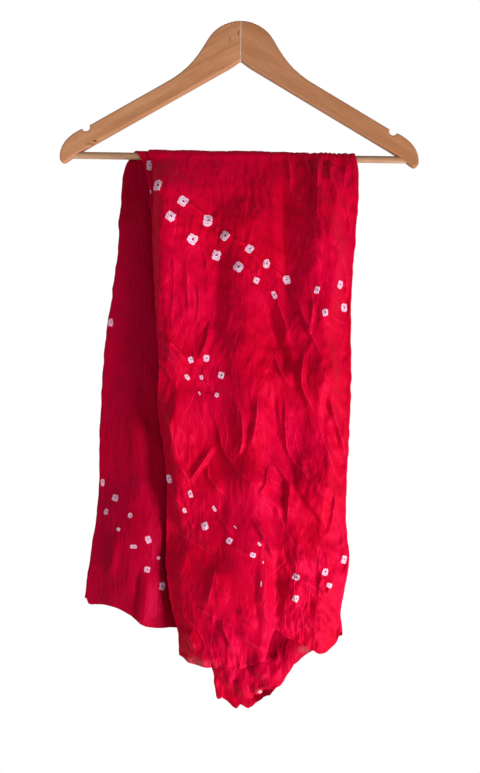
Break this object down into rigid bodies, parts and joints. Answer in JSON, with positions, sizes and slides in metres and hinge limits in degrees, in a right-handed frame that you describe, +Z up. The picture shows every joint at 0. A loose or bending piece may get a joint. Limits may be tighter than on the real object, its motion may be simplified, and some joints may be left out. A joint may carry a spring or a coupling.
{
  "type": "bandhani cloth on wooden coat hanger",
  "caption": "Crimson tie-dyed dotted cloth, folded lengthwise in three and draped over the bar of a flat wooden coat hanger.",
  "frame": {"origin": "top centre of the hanger's head, where its hook would stand", "axes": "+X along the hanger to the viewer's right, +Y away from the viewer towards the cloth's shorter end, +Z up"},
  "size_m": [0.443, 0.0714, 0.8469],
  "materials": {
    "hanger_wood": "satin lacquer",
    "bar_wood": "satin lacquer",
    "dyed_cloth": "soft sheen"
  },
  "bodies": {
    "root": {"hanger_arm_left": "hanger_wood", "hanger_arm_right": "hanger_wood", "trouser_bar": "bar_wood", "cloth": "dyed_cloth"}
  },
  "joints": []
}
